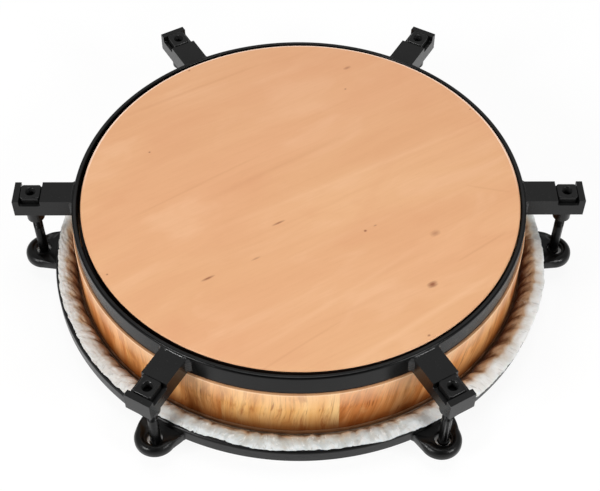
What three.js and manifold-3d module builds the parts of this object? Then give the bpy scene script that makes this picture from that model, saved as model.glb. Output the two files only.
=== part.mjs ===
// Compact conga, head down: a shallow glued-stave shell closed by a round board in a steel ring, six welded arms with
// captive lug nuts, a rawhide head folded round a flesh hoop, and a six-eared tension rim drawn up by six bolts.
// Millimetres, +Z up. The origin is the centre of the playing face, which the drum rests on.
import * as THREE from "three";
import { mergeVertices } from "three/addons/utils/BufferGeometryUtils.js";
import Module from "manifold-3d";

// ---- driving dimensions ----
const LUGS = 6; // arms, ears, bolts
const GAP = 0.3; // between pieces that touch

const RING_TOP = 79.0; // height of the ring's upper edge above the playing face
const RING_R = 150.0; // outer radius
const RING_T = 3.2; // band thickness
const RING_H = 16.0; // band height

const BOARD_R = 145.25;
const BOARD_AT = [0.95, 0.6]; // it lies off centre, so the gap inside the ring is uneven
const BOARD_TOP = 78.9;
const BOARD_T = 8.6;

const STAVES = 13;
const STAVE_SEAM_DEG = -80.9; // one glue seam, the others follow every 360 / 13 degrees
const SHELL_R = 151.3;
const SHELL_INNER_R = 141.0;
const SHELL_REBATE_R = 146.0; // tongue inside the ring, which carries the board
const SHELL_LOW = 2.3; // bearing edge, on the hide

const HIDE_T = 1.8;
const FACE_T = 2.0; // hide over the playing face
const HOOP_R = 160.0; // flesh hoop, centre line
const HOOP_WIRE_R = 4.0;
const HOOP_Z = 23.3;
const FOLD_EDGE_R = 167.9; // cut edge of the folded hide

const RIM_R = 168.0; // outer radius
const RIM_WALL_R = 164.5;
const RIM_LIP_R = 155.8;
const RIM_LOW = 15.4;
const RIM_TOP = 25.5;
const RIM_LIP_T = 3.6;

const BOLT_CIRCLE_R = 178.2;
const BOLT_R = 3.4;
const BOLT_TOP = 72.0;
const HEAD_AF = 11.0;
const HEAD_LOW = 10.0;
const HEAD_TOP = 15.1;
const WASHER_R = 8.0;
const WASHER_HOLE_R = 3.8;
const WASHER_LOW = 15.4;
const WASHER_T = 1.6;

const EAR_LOW = 14.2;
const EAR_TOP = 21.2;
const EAR_END_AT = 177.0; // middle of the round end
const EAR_END_R = 13.4;
const EAR_ROOT_HALF = 15.0;
const EAR_HOLE_R = 4.8;
const EAR_DISH_R = 9.8;
const EAR_DISH_DEPTH = 1.1;
const EAR_SEAT_R = 8.9; // recess on the playing side for washer and head
const EAR_SEAT_Z = 17.3;

const ARM_W = 18.0;
const ARM_TOP = 77.5;
const ARM_LOW = 64.2;
const ARM_END_R = 189.5;
const ARM_WALL = 2.5;
const SLOT_IN_R = 171.2;
const SLOT_OUT_R = 185.3;
const SLOT_SIDE_DROP = 4.3; // the side walls are this much lower along the slot

const NUT_L = 13.0; // radial
const NUT_W = 12.2; // across
const NUT_TOP = 78.3;
const NUT_NECK_R = 5.9;
const NUT_NECK_CONE_Z = 53.6;
const NUT_NECK_LOW = 51.6;
const NUT_HOLE_R = 3.65;
const ARM_NECK_HOLE_R = 6.4;

// ---- solids ----
const wasm = await Module();
wasm.setup();

// a closed geometry as a solid with its faces outwards
function solid(geometry) {
  const bare = new THREE.BufferGeometry().setAttribute(
    "position",
    (geometry.index ? geometry.toNonIndexed() : geometry).getAttribute("position"),
  );
  const merged = mergeVertices(bare, 1e-4);
  const p = merged.getAttribute("position").array;
  const src = merged.index.array;
  const tri = [];
  let volume = 0;
  const a = new THREE.Vector3();
  const b = new THREE.Vector3();
  const c = new THREE.Vector3();
  for (let i = 0; i < src.length; i += 3) {
    const [u, v, w] = [src[i], src[i + 1], src[i + 2]];
    if (u === v || v === w || u === w) continue;
    tri.push(u, v, w);
    a.fromArray(p, 3 * u);
    b.fromArray(p, 3 * v);
    c.fromArray(p, 3 * w);
    volume += a.dot(b.cross(c));
  }
  if (volume < 0)
    for (let i = 0; i < tri.length; i += 3) [tri[i + 1], tri[i + 2]] = [tri[i + 2], tri[i + 1]];
  return new wasm.Manifold(
    new wasm.Mesh({ numProp: 3, vertProperties: new Float32Array(p), triVerts: new Uint32Array(tri) }),
  );
}

function geometryOf(manifold) {
  const m = manifold.getMesh();
  const xyz = new Float32Array(m.numVert * 3);
  for (let i = 0; i < m.numVert; i++)
    xyz.set(m.vertProperties.subarray(i * m.numProp, i * m.numProp + 3), 3 * i);
  const g = new THREE.BufferGeometry();
  g.setAttribute("position", new THREE.BufferAttribute(xyz, 3));
  g.setIndex(new THREE.BufferAttribute(new Uint32Array(m.triVerts), 1));
  g.computeVertexNormals();
  return g;
}

// a profile of [radius, height] pairs turned about Z
function turned(profile, segments) {
  return solid(
    new THREE.LatheGeometry(
      profile.map(([r, z]) => new THREE.Vector2(r, z)),
      segments,
    ).rotateX(Math.PI / 2),
  );
}

const closed = (profile) => [...profile, profile[0]];

function box(x0, x1, y0, y1, z0, z1) {
  return solid(
    new THREE.BoxGeometry(x1 - x0, y1 - y0, z1 - z0).translate((x0 + x1) / 2, (y0 + y1) / 2, (z0 + z1) / 2),
  );
}

// a round bar along Z, at x on the bolt circle when asked
function bar(r, z0, z1, x = 0, segments = 24) {
  return solid(
    new THREE.CylinderGeometry(r, r, z1 - z0, segments).rotateX(Math.PI / 2).translate(x, 0, (z0 + z1) / 2),
  );
}

function plate(shape, z0, z1, curveSegments = 12) {
  return solid(
    new THREE.ExtrudeGeometry(shape, { depth: z1 - z0, bevelEnabled: false, curveSegments }).translate(0, 0, z0),
  );
}

// ---- materials ----
const black = () => new THREE.MeshStandardMaterial({ color: 0x232323, roughness: 0.55, metalness: 0.35 });
const boardWood = new THREE.MeshStandardMaterial({ color: 0xe8b68c, roughness: 0.5, metalness: 0 });
const shellWood = new THREE.MeshStandardMaterial({ color: 0xc98c52, roughness: 0.35, metalness: 0 });
const hide = new THREE.MeshStandardMaterial({ color: 0xe9e4d8, roughness: 0.75, metalness: 0 });
const bright = new THREE.MeshStandardMaterial({ color: 0xc9c9c9, roughness: 0.3, metalness: 0.9 });
const steel = new THREE.MeshStandardMaterial({ color: 0x8b8b8b, roughness: 0.5, metalness: 0.8 });

const conga = new THREE.Group();
conga.name = "conga";

function place(name, manifold, material, parent = conga) {
  const mesh = new THREE.Mesh(geometryOf(manifold), material);
  mesh.name = name;
  parent.add(mesh);
  return mesh;
}

// ---- bottom board and ring ----
place(
  "bottom_board",
  turned(
    [
      [0, BOARD_TOP - BOARD_T],
      [BOARD_R, BOARD_TOP - BOARD_T],
      [BOARD_R, BOARD_TOP - 0.6],
      [BOARD_R - 0.6, BOARD_TOP],
      [0, BOARD_TOP],
    ],
    96,
  ).translate([...BOARD_AT, 0]),
  boardWood,
);

place(
  "frame_ring",
  turned(
    closed([
      [RING_R - RING_T, RING_TOP - RING_H],
      [RING_R, RING_TOP - RING_H],
      [RING_R, RING_TOP],
      [RING_R - RING_T, RING_TOP],
    ]),
    96,
  ),
  black(),
);

// ---- shell: glued staves with a rounded bearing edge and a tongue that stands inside the ring ----
const shellBand = turned(
  closed([
    [SHELL_INNER_R, SHELL_LOW + 3.0],
    [SHELL_INNER_R + 3.2, SHELL_LOW],
    [SHELL_R - 4.2, SHELL_LOW],
    [SHELL_R - 1.7, SHELL_LOW + 1.3],
    [SHELL_R, SHELL_LOW + 4.6],
    [SHELL_R, RING_TOP - RING_H - GAP],
    [SHELL_REBATE_R, RING_TOP - RING_H - GAP],
    [SHELL_REBATE_R, BOARD_TOP - BOARD_T - GAP],
    [SHELL_INNER_R, BOARD_TOP - BOARD_T - GAP],
  ]),
  STAVES * 6,
);
for (let i = 0; i < STAVES; i++) {
  const half = Math.PI / STAVES;
  const mid = THREE.MathUtils.degToRad(STAVE_SEAM_DEG) + half * (2 * i + 1);
  const apex = GAP / 2 / Math.sin(half);
  const at = new THREE.Vector2(apex * Math.cos(mid), apex * Math.sin(mid));
  const wedge = new THREE.Shape([
    at,
    new THREE.Vector2(at.x + 220 * Math.cos(mid - half), at.y + 220 * Math.sin(mid - half)),
    new THREE.Vector2(at.x + 220 * Math.cos(mid + half), at.y + 220 * Math.sin(mid + half)),
  ]);
  place(
    "stave_" + String(i + 1).padStart(2, "0"),
    shellBand.intersect(plate(wedge, -5, 90)),
    shellWood,
  );
}

// ---- head: the hide crosses the bearing edge, climbs the shell, folds over the hoop and ends above the rim ----
const foldOut = HOOP_WIRE_R + GAP + HIDE_T;
const foldIn = HOOP_WIRE_R + GAP;
const arc = (r, fromDeg, toDeg, steps) =>
  Array.from({ length: steps + 1 }, (_, i) => {
    const t = THREE.MathUtils.degToRad(fromDeg + ((toDeg - fromDeg) * i) / steps);
    return [HOOP_R + r * Math.cos(t), HOOP_Z + r * Math.sin(t)];
  });
place(
  "drum_skin",
  turned(
    [
      [0, 0],
      [147.9, 0],
      [151.5, 1.6],
      [153.4, 5.4],
      [153.5, 16.8],
      [154.2, 20.0],
      ...arc(foldIn, 180, 62, 4),
      [164.6, RIM_TOP + 0.8],
      [FOLD_EDGE_R, RIM_TOP + 0.6],
      [FOLD_EDGE_R, RIM_TOP + 0.6 + HIDE_T],
      ...arc(foldOut, 58, 180, 5),
      [152.4, 20.0],
      [151.7, 17.0],
      [151.7, 7.0],
      [149.8, 3.0],
      [147.2, FACE_T],
      [0, FACE_T],
    ],
    72,
  ),
  hide,
);

place(
  "flesh_hoop",
  turned(
    closed(
      Array.from({ length: 10 }, (_, i) => {
        const t = (2 * Math.PI * (i + 0.5)) / 10;
        return [HOOP_R + HOOP_WIRE_R * Math.cos(t), HOOP_Z + HOOP_WIRE_R * Math.sin(t)];
      }),
    ),
    72,
  ),
  steel,
);

// ---- tension rim: an upright band with a flat lip welded inside it, under the flesh hoop ----
place(
  "rim",
  turned(
    closed([
      [RIM_WALL_R, RIM_LOW],
      [RIM_R, RIM_LOW],
      [RIM_R, RIM_TOP],
      [RIM_WALL_R, RIM_TOP],
    ]),
    96,
  ),
  black(),
);

place(
  "rim_lip",
  turned(
    closed([
      [RIM_LIP_R, RIM_LOW],
      [RIM_WALL_R - GAP, RIM_LOW],
      [RIM_WALL_R - GAP, RIM_LOW + RIM_LIP_T],
      [RIM_LIP_R, RIM_LOW + RIM_LIP_T],
    ]),
    96,
  ),
  black(),
);

// ---- one lug, along +X, turned to its six places ----
const ringCore = bar(RING_R + GAP, 0, 100, 0, 96);
const rimCore = bar(RIM_R + GAP, 0, 100, 0, 96);

const inside = ARM_W / 2 - ARM_WALL;
const arm = box(140, ARM_END_R, -ARM_W / 2, ARM_W / 2, ARM_LOW, ARM_TOP)
  .subtract(box(130, SLOT_OUT_R, -inside, inside, ARM_LOW + ARM_WALL, ARM_TOP - ARM_WALL))
  .subtract(box(SLOT_IN_R, SLOT_OUT_R, -inside, inside, ARM_LOW + ARM_WALL, ARM_TOP + 5))
  .subtract(box(SLOT_IN_R, SLOT_OUT_R, -ARM_W, ARM_W, ARM_TOP - SLOT_SIDE_DROP, ARM_TOP + 5))
  .subtract(bar(ARM_NECK_HOLE_R, ARM_LOW - 5, ARM_LOW + ARM_WALL + 1, BOLT_CIRCLE_R))
  .subtract(ringCore);

const roundedSquare = new THREE.Shape();
{
  const [l, w, r] = [NUT_L / 2, NUT_W / 2, 2.0];
  roundedSquare.moveTo(BOLT_CIRCLE_R - l + r, -w);
  roundedSquare.lineTo(BOLT_CIRCLE_R + l - r, -w);
  roundedSquare.absarc(BOLT_CIRCLE_R + l - r, -w + r, r, -Math.PI / 2, 0, false);
  roundedSquare.lineTo(BOLT_CIRCLE_R + l, w - r);
  roundedSquare.absarc(BOLT_CIRCLE_R + l - r, w - r, r, 0, Math.PI / 2, false);
  roundedSquare.lineTo(BOLT_CIRCLE_R - l + r, w);
  roundedSquare.absarc(BOLT_CIRCLE_R - l + r, w - r, r, Math.PI / 2, Math.PI, false);
  roundedSquare.lineTo(BOLT_CIRCLE_R - l, -w + r);
  roundedSquare.absarc(BOLT_CIRCLE_R - l + r, -w + r, r, Math.PI, 1.5 * Math.PI, false);
}
const nutFloor = ARM_LOW + ARM_WALL + GAP;
const nut = plate(roundedSquare, nutFloor, NUT_TOP, 3)
  .add(
    turned(
      [
        [0, NUT_NECK_LOW],
        [NUT_NECK_R - 1.7, NUT_NECK_LOW],
        [NUT_NECK_R, NUT_NECK_CONE_Z],
        [NUT_NECK_R, nutFloor + 1],
        [0, nutFloor + 1],
      ],
      24,
    ).translate([BOLT_CIRCLE_R, 0, 0]),
  )
  .subtract(bar(NUT_HOLE_R, NUT_NECK_LOW - 5, NUT_TOP + 5, BOLT_CIRCLE_R));

const headCircumR = HEAD_AF / Math.sqrt(3);
const bolt = bar(headCircumR, HEAD_LOW, HEAD_TOP, 0, 6)
  .add(
    turned(
      [
        [0, HEAD_TOP - 1],
        [BOLT_R, HEAD_TOP - 1],
        [BOLT_R, BOLT_TOP - 0.8],
        [BOLT_R - 0.8, BOLT_TOP],
        [0, BOLT_TOP],
      ],
      20,
    ),
  )
  .translate([BOLT_CIRCLE_R, 0, 0]);

const washer = turned(
  closed([
    [WASHER_HOLE_R, WASHER_LOW],
    [WASHER_R, WASHER_LOW],
    [WASHER_R, WASHER_LOW + WASHER_T],
    [WASHER_HOLE_R, WASHER_LOW + WASHER_T],
  ]),
  24,
).translate([BOLT_CIRCLE_R, 0, 0]);

const earShape = new THREE.Shape();
{
  const tangent = THREE.MathUtils.degToRad(96); // where the straight sides meet the round end
  earShape.moveTo(160, -EAR_ROOT_HALF);
  earShape.lineTo(RIM_R + 1, -EAR_ROOT_HALF);
  earShape.absarc(EAR_END_AT, 0, EAR_END_R, -tangent, tangent, false);
  earShape.lineTo(RIM_R + 1, EAR_ROOT_HALF);
  earShape.lineTo(160, EAR_ROOT_HALF);
}
const ear = plate(earShape, EAR_LOW, EAR_TOP, 18)
  .subtract(bar(EAR_HOLE_R, EAR_LOW - 5, EAR_TOP + 5, BOLT_CIRCLE_R, 24))
  .subtract(bar(EAR_SEAT_R, EAR_LOW - 5, EAR_SEAT_Z, BOLT_CIRCLE_R, 24))
  .subtract(
    turned(
      [
        [0, EAR_TOP - EAR_DISH_DEPTH],
        [EAR_DISH_R - 3, EAR_TOP - EAR_DISH_DEPTH],
        [EAR_DISH_R, EAR_TOP],
        [EAR_DISH_R, EAR_TOP + 3],
        [0, EAR_TOP + 3],
      ],
      24,
    ).translate([BOLT_CIRCLE_R, 0, 0]),
  )
  .subtract(rimCore);

for (let i = 0; i < LUGS; i++) {
  const lug = new THREE.Group();
  lug.rotation.z = (i * 2 * Math.PI) / LUGS;
  conga.add(lug);
  const n = i + 1;
  place("arm_" + n, arm, black(), lug);
  place("lug_nut_" + n, nut, black(), lug);
  place("ear_" + n, ear, black(), lug);
  place("washer_" + n, washer, bright, lug);
  place("tuning_bolt_" + n, bolt, black(), lug);
}

export default conga;
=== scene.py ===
"""Looks of the compact conga: powder-coated steel ring, arms and rim, lacquered board and staves, pleated rawhide."""
import math

import bpy
import numpy as np
from mathutils import Matrix, Vector


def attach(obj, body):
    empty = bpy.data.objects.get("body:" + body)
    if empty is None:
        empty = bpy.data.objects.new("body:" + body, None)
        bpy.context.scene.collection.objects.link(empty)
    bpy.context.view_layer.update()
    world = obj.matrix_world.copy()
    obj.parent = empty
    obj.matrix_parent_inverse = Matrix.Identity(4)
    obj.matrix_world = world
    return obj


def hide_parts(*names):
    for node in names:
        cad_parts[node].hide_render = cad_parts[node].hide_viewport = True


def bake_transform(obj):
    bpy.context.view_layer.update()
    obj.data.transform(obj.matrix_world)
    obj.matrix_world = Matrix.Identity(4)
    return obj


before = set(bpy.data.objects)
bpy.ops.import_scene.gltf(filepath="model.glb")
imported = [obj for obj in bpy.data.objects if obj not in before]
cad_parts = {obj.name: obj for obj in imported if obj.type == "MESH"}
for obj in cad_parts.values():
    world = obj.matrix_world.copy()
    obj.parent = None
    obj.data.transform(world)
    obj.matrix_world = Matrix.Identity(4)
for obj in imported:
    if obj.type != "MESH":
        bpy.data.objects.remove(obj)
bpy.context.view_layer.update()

LUGS = 6
BOLT_CIRCLE = 178.2
STAVES = 13
STAVE_SEAM_DEG = -80.9

# ------------------------------------------------------------------ camera
# The photograph's view, worked out from the ring, the board and the six nut holes.
F_PX, DIST, ELEV, ROLL, YAW = 1226.0, 0.7821, 49.93, 0.195, -0.404
TARGET = Vector((0.00078, -0.047985, 0.079))


def make_camera():
    e, r = math.radians(ELEV), math.radians(ROLL)
    forward = Vector((0, math.cos(e), -math.sin(e)))
    right, up = Vector((1, 0, 0)), Vector((0, math.sin(e), math.cos(e)))
    x = math.cos(r) * right + math.sin(r) * up
    y = -math.sin(r) * right + math.cos(r) * up
    at = TARGET - DIST * forward
    m = Matrix(((x.x, y.x, -forward.x, at.x), (x.y, y.y, -forward.y, at.y), (x.z, y.z, -forward.z, at.z), (0, 0, 0, 1)))
    data = bpy.data.cameras.new("camera")
    data.sensor_fit, data.sensor_width = "HORIZONTAL", 36.0
    data.lens = F_PX / 600 * 36.0
    data.clip_start, data.clip_end = 0.02, 20
    cam = bpy.data.objects.new("camera", data)
    cam.matrix_world = Matrix.Rotation(math.radians(YAW), 4, "Z") @ m
    bpy.context.scene.collection.objects.link(cam)
    bpy.context.scene.camera = cam


make_camera()


# ------------------------------------------------------------------ small tools
def ring_noise(theta, cells, seed):
    """Smooth noise round the circle, about -1 to 1, with that many cells."""
    rng = np.random.default_rng(seed)
    v = rng.uniform(-1, 1, cells)
    x = (np.asarray(theta) / (2 * math.pi) * cells) % cells
    i = np.floor(x).astype(int)
    f = x - i
    f = f * f * (3 - 2 * f)
    return v[i % cells] * (1 - f) + v[(i + 1) % cells] * f


def ring_noise2(theta, t, cells, rows, seed):
    """The same, also changing with t from 0 to 1."""
    rng = np.random.default_rng(seed)
    v = rng.uniform(-1, 1, (cells, rows + 1))
    x = (np.asarray(theta) / (2 * math.pi) * cells) % cells
    y = np.clip(np.asarray(t), 0, 0.99999) * rows
    i, j = np.floor(x).astype(int), np.floor(y).astype(int)
    f, g = x - i, y - j
    f, g = f * f * (3 - 2 * f), g * g * (3 - 2 * g)
    a = v[i % cells, j] * (1 - f) + v[(i + 1) % cells, j] * f
    b = v[i % cells, j + 1] * (1 - f) + v[(i + 1) % cells, j + 1] * f
    return a * (1 - g) + b * g


def smoothstep(a, b, x):
    t = np.clip((np.asarray(x, float) - a) / (b - a), 0, 1)
    return t * t * (3 - 2 * t)


def fillet(points, radii, steps=5):
    """A closed outline with its corners rounded."""
    out, n = [], len(points)
    for i, (p, r) in enumerate(zip(points, radii)):
        a, b, c = np.array(points[i - 1], float), np.array(p, float), np.array(points[(i + 1) % n], float)
        if r <= 0:
            out.append(b)
            continue
        u, v = (a - b) / np.linalg.norm(a - b), (c - b) / np.linalg.norm(c - b)
        half = math.acos(np.clip(u @ v, -1, 1)) / 2
        centre = b + (u + v) / np.linalg.norm(u + v) * r / math.sin(half)
        p0, p1 = b + u * r / math.tan(half), b + v * r / math.tan(half)
        a0 = math.atan2(*(p0 - centre)[::-1])
        turn = (math.atan2(*(p1 - centre)[::-1]) - a0 + math.pi) % (2 * math.pi) - math.pi
        for k in range(steps + 1):
            t = a0 + turn * k / steps
            out.append(centre + r * np.array([math.cos(t), math.sin(t)]))
    return np.array(out)


def grid_faces(nu, nv, wrap_u, wrap_v):
    i = np.arange(nu if wrap_u else nu - 1)
    j = np.arange(nv if wrap_v else nv - 1)
    i, j = np.meshgrid(i, j, indexing="ij")
    i2, j2 = (i + 1) % nu, (j + 1) % nv
    return np.stack([i * nv + j, i2 * nv + j, i2 * nv + j2, i * nv + j2], -1).reshape(-1, 4)


def volume_of(v, faces):
    total = 0.0
    quads = np.array([f for f in faces if len(f) == 4]).reshape(-1, 4)
    for a, b, c in ((0, 1, 2), (0, 2, 3)):
        if len(quads):
            total += np.einsum("ij,ij->i", v[quads[:, a]], np.cross(v[quads[:, b]], v[quads[:, c]])).sum()
    for f in faces:
        if len(f) != 4:
            for k in range(1, len(f) - 1):
                total += v[f[0]] @ np.cross(v[f[k]], v[f[k + 1]])
    return total


def build(name, verts_mm, faces, material, attrs=None, angle=38, weighted=True):
    """A mesh object from millimetres, its faces turned outwards, shaded smooth up to angle."""
    v = np.asarray(verts_mm, float).reshape(-1, 3) * 0.001
    faces = [tuple(int(k) for k in f) for f in faces]
    if volume_of(v, faces) < 0:
        faces = [f[::-1] for f in faces]
    me = bpy.data.meshes.new(name)
    me.from_pydata(v.tolist(), [], faces)
    me.polygons.foreach_set("use_smooth", np.ones(len(me.polygons), bool))
    if angle < 180:
        me.set_sharp_from_angle(angle=math.radians(angle))
    for key, values in (attrs or {}).items():
        a = me.attributes.new(key, "FLOAT", "POINT")
        a.data.foreach_set("value", np.asarray(values, np.float32).ravel())
    me.update()
    ob = bpy.data.objects.new(name, me)
    bpy.context.scene.collection.objects.link(ob)
    me.materials.append(material)
    if weighted:
        w = ob.modifiers.new("even_normals", "WEIGHTED_NORMAL")
        w.keep_sharp = True
    return ob


def lathe(name, profile, segments, material, closed=True, attrs=None, angle=38, weighted=True):
    """A profile of (radius, height) turned about Z. An open profile starts and ends near the axis and gets flat caps."""
    profile = np.asarray(profile, float)
    th = np.arange(segments) * 2 * math.pi / segments
    r, z = profile[:, 0], profile[:, 1]
    v = np.stack([np.outer(np.cos(th), r), np.outer(np.sin(th), r), np.tile(z, (segments, 1))], -1)
    n = len(profile)
    faces = [tuple(f) for f in grid_faces(segments, n, True, closed)]
    if not closed:
        faces.append(tuple(i * n for i in range(segments))[::-1])
        faces.append(tuple(i * n + n - 1 for i in range(segments)))
    return build(name, v, faces, material, attrs, angle, weighted)


def turned_about_z(verts, degrees):
    a = math.radians(degrees)
    m = np.array([[math.cos(a), -math.sin(a), 0], [math.sin(a), math.cos(a), 0], [0, 0, 1]])
    return np.asarray(verts) @ m.T


def polar(name, rows, axis_xy, lug_deg, material, angle=38, weighted=True, attrs=None):
    """A closed skin on rows[k] = (radii round the axis, heights), each an array over the angle, closing on itself."""
    n = len(rows[0][0])
    th = np.arange(n) * 2 * math.pi / n
    v = np.zeros((n, len(rows), 3))
    for k, (r, z) in enumerate(rows):
        v[:, k, 0] = axis_xy[0] + r * np.cos(th)
        v[:, k, 1] = axis_xy[1] + r * np.sin(th)
        v[:, k, 2] = z
    v = turned_about_z(v.reshape(-1, 3), lug_deg)
    return build(name, v, [tuple(f) for f in grid_faces(n, len(rows), True, True)], material, attrs, angle, weighted)


def mesh_data(ob):
    """The vertices in millimetres and the faces of an object with its modifiers applied. The object is removed."""
    dg = bpy.context.evaluated_depsgraph_get()
    me = bpy.data.meshes.new_from_object(ob.evaluated_get(dg))
    co = np.zeros(len(me.vertices) * 3)
    me.vertices.foreach_get("co", co)
    faces = [tuple(p.vertices) for p in me.polygons]
    bpy.data.meshes.remove(me)
    bpy.data.objects.remove(ob)
    return co.reshape(-1, 3) * 1000, faces


def box_mesh(x0, x1, y0, y1, z0, z1):
    v = [(x, y, z) for x in (x0, x1) for y in (y0, y1) for z in (z0, z1)]
    f = [(0, 1, 3, 2), (4, 6, 7, 5), (0, 4, 5, 1), (2, 3, 7, 6), (0, 2, 6, 4), (1, 5, 7, 3)]
    return v, f


def prism(outline, z0, z1):
    n = len(outline)
    v = [(x, y, z0) for x, y in outline] + [(x, y, z1) for x, y in outline]
    f = [tuple(range(n))[::-1], tuple(range(n, 2 * n))]
    f += [(i, (i + 1) % n, n + (i + 1) % n, n + i) for i in range(n)]
    return v, f


def plain(v, f):
    return build("work", v, f, bpy.data.materials[0], None, 180, False)


def cut(ob, cutters, op="DIFFERENCE"):
    for c in cutters:
        m = ob.modifiers.new("cut", "BOOLEAN")
        m.operation, m.object, m.solver = op, c, "EXACT"
    bpy.context.view_layer.update()
    v, f = mesh_data(ob)
    for c in cutters:
        bpy.data.objects.remove(c)
    return plain(v, f)


# ------------------------------------------------------------------ materials
class Tree:
    """Short hand for a material's nodes."""

    def __init__(self, name):
        self.mat = bpy.data.materials.new(name)
        self.mat.use_nodes = True
        self.nodes, self.links = self.mat.node_tree.nodes, self.mat.node_tree.links
        self.shader = next(n for n in self.nodes if n.type == "BSDF_PRINCIPLED")

    def put(self, target, value):
        if isinstance(value, bpy.types.NodeSocket):
            self.links.new(value, target)
        else:
            target.default_value = value

    def node(self, kind, **inputs):
        n = self.nodes.new(kind)
        for k, v in inputs.items():
            self.put(n.inputs[k.replace("_", " ")] if not k.startswith("i") or not k[1:].isdigit() else n.inputs[int(k[1:])], v)
        return n

    def math(self, op, a, b=0.0, c=0.0, clamp=False):
        n = self.nodes.new("ShaderNodeMath")
        n.operation, n.use_clamp = op, clamp
        for s, v in zip(n.inputs, (a, b, c)):
            self.put(s, v)
        return n.outputs[0]

    def coords(self):
        return self.nodes.new("ShaderNodeTexCoord").outputs["Object"]

    def attribute(self, name):
        n = self.nodes.new("ShaderNodeAttribute")
        n.attribute_name = name
        return n.outputs["Fac"]

    def mapping(self, vector, scale=(1, 1, 1), rotation=(0, 0, 0), location=(0, 0, 0)):
        n = self.nodes.new("ShaderNodeMapping")
        self.put(n.inputs["Vector"], vector)
        for k, v in (("Scale", scale), ("Rotation", rotation), ("Location", location)):
            self.put(n.inputs[k], v)
        return n.outputs[0]

    def noise(self, vector, scale, detail=3.0, rough=0.55, distort=0.0):
        n = self.nodes.new("ShaderNodeTexNoise")
        self.put(n.inputs["Vector"], vector)
        for k, v in (("Scale", scale), ("Detail", detail), ("Roughness", rough), ("Distortion", distort)):
            self.put(n.inputs[k], v)
        return n.outputs["Fac"]

    def ramp(self, fac, stops, interpolation="LINEAR"):
        n = self.nodes.new("ShaderNodeValToRGB")
        n.color_ramp.interpolation = interpolation
        e = n.color_ramp.elements
        while len(e) < len(stops):
            e.new(0.5)
        for k, (at, colour) in enumerate(stops):
            e[k].position = at
            e[k].color = (*colour, 1) if len(colour) == 3 else colour
        self.put(n.inputs["Fac"], fac)
        return n.outputs["Color"]

    def grey(self, fac, stops, interpolation="LINEAR"):
        return self.ramp(fac, [(a, (v, v, v)) for a, v in stops], interpolation)

    def mix(self, fac, a, b, kind="MIX"):
        n = self.nodes.new("ShaderNodeMix")
        n.data_type, n.blend_type = "RGBA", kind
        self.put(n.inputs[0], fac)
        for s, v in ((n.inputs[6], a), (n.inputs[7], b)):
            self.put(s, (*v, 1) if isinstance(v, tuple) and len(v) == 3 else v)
        return n.outputs[2]

    def xyz(self, vector):
        n = self.nodes.new("ShaderNodeSeparateXYZ")
        self.put(n.inputs[0], vector)
        return n.outputs

    def vector(self, x, y, z):
        n = self.nodes.new("ShaderNodeCombineXYZ")
        for s, v in zip(n.inputs, (x, y, z)):
            self.put(s, v)
        return n.outputs[0]

    def bump(self, height, distance, strength=1.0, normal=None):
        n = self.nodes.new("ShaderNodeBump")
        n.inputs["Strength"].default_value = strength
        n.inputs["Distance"].default_value = distance
        self.put(n.inputs["Height"], height)
        if normal is not None:
            self.put(n.inputs["Normal"], normal)
        return n.outputs[0]

    def set(self, **values):
        for k, v in values.items():
            self.put(self.shader.inputs[k.replace("_", " ")], v)
        return self.mat


def srgb(r, g, b):
    return tuple((c / 255 / 12.92) if c <= 10.3 else ((c / 255 + 0.055) / 1.055) ** 2.4 for c in (r, g, b))


def black_coat(name, base, rough, grain, specular, lit_top_z=None, relief=0.08):
    t = Tree(name)
    co = t.coords()
    broad = t.noise(co, 28.0, 3.0, 0.6)
    fine = t.noise(co, grain, 2.0, 0.5)
    tone = t.ramp(broad, [(0.3, tuple(c * 0.85 for c in base)), (0.7, tuple(c * 1.2 for c in base))])
    specks = t.grey(t.noise(co, grain * 0.6, 1.0, 0.4), [(0.68, 0.0), (0.74, 1.0)])
    colour = t.mix(t.math("MULTIPLY", specks, 0.35), tone, tuple(min(1, c * 3.0) for c in base))
    if lit_top_z:
        # painted highlight: the flat top above this height is lightened to a lit grey line
        top = t.math("GREATER_THAN", t.xyz(co)[2], lit_top_z)
        colour = t.mix(t.math("MULTIPLY", top, t.grey(broad, [(0.35, 0.55), (0.65, 1.0)])), colour, srgb(36, 36, 36))
    roughness = t.math("ADD", t.math("MULTIPLY", broad, 0.16), rough - 0.08)
    # painted shade: inside the nut's threaded bore the coat is darkened and dulled
    bore_shade = t.attribute("bore_shade")
    colour = t.mix(bore_shade, colour, srgb(5, 5, 5))
    roughness = t.math("ADD", roughness, t.math("MULTIPLY", bore_shade, 0.45))
    skin = t.noise(co, grain * 0.3, 3.0, 0.6)
    t.set(Base_Color=colour, Roughness=roughness, Normal=t.bump(fine, 0.00010, 0.18 + relief * 0.8, t.bump(skin, 0.0003, relief)))
    t.shader.inputs["Specular IOR Level"].default_value = specular
    return t.mat


BLACK = black_coat("black_powder_coat", srgb(19, 19, 19), 0.25, 900.0, 0.29)
BLACK_WELD = black_coat("black_weld_coat", srgb(13, 13, 13), 0.20, 900.0, 0.36, relief=0.8)
# the ring gets a darker copy of the powder coat, painted shade, and a lighter flat top, painted highlight
BLACK_RING = black_coat("black_ring_coat", srgb(6, 6, 6), 0.22, 900.0, 0.16, 0.07895)
BLACK_CAST = black_coat("black_cast_coat", srgb(9, 9, 9), 0.32, 620.0, 0.25, relief=0.45)


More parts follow.
